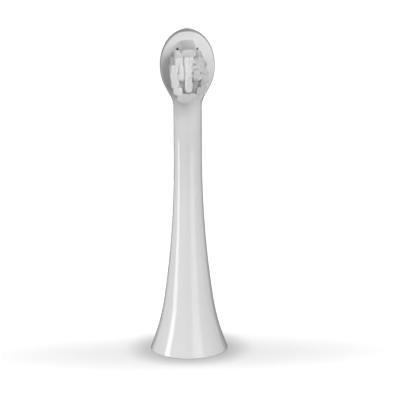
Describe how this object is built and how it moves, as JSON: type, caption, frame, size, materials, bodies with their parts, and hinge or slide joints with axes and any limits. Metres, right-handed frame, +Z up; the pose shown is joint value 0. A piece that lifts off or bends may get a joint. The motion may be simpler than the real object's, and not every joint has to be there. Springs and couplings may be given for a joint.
{
  "type": "electric toothbrush head",
  "caption": "Push-on sonic toothbrush head: flared hollow skirt, slim round neck and oval pan with dense tufted bristles, and a flatted shaft bore inside the skirt.",
  "frame": {"origin": "centre of the skirt's open mouth, in the plane of the rim that the head stands on", "axes": "+Z up along the neck to the crest of the pan, -Y the way the bristles point, X across the pan"},
  "size_m": [0.0176, 0.0211, 0.0759],
  "materials": {
    "body_plastic": "off-white polypropylene, moulded with a polished tool",
    "insert_plastic": "natural acetal, as moulded",
    "spring_steel": "rolled stainless strip",
    "anchor_brass": "drawn flat wire",
    "bristle_nylon": "white nylon filaments with rounded ends"
  },
  "bodies": {
    "root": {"head_body": "body_plastic", "drive_insert": "insert_plastic", "grip_spring": "spring_steel", "tuft_anchors": "anchor_brass", "tuft_row1_1": "bristle_nylon", "tuft_row1_2": "bristle_nylon", "tuft_row1_3": "bristle_nylon", "tuft_row2_1": "bristle_nylon", "tuft_row2_2": "bristle_nylon", "tuft_row2_3": "bristle_nylon", "tuft_row2_4": "bristle_nylon", "tuft_row2_5": "bristle_nylon", "tuft_row3_1": "bristle_nylon", "tuft_row3_2": "bristle_nylon", "tuft_row3_3": "bristle_nylon", "tuft_row3_4": "bristle_nylon", "tuft_row3_5": "bristle_nylon", "tuft_row4_1": "bristle_nylon", "tuft_row4_2": "bristle_nylon", "tuft_row4_3": "bristle_nylon", "tuft_row4_4": "bristle_nylon", "tuft_row4_5": "bristle_nylon", "tuft_row5_1": "bristle_nylon", "tuft_row5_2": "bristle_nylon", "tip_tuft": "bristle_nylon", "heel_tuft": "bristle_nylon"}
  },
  "joints": []
}
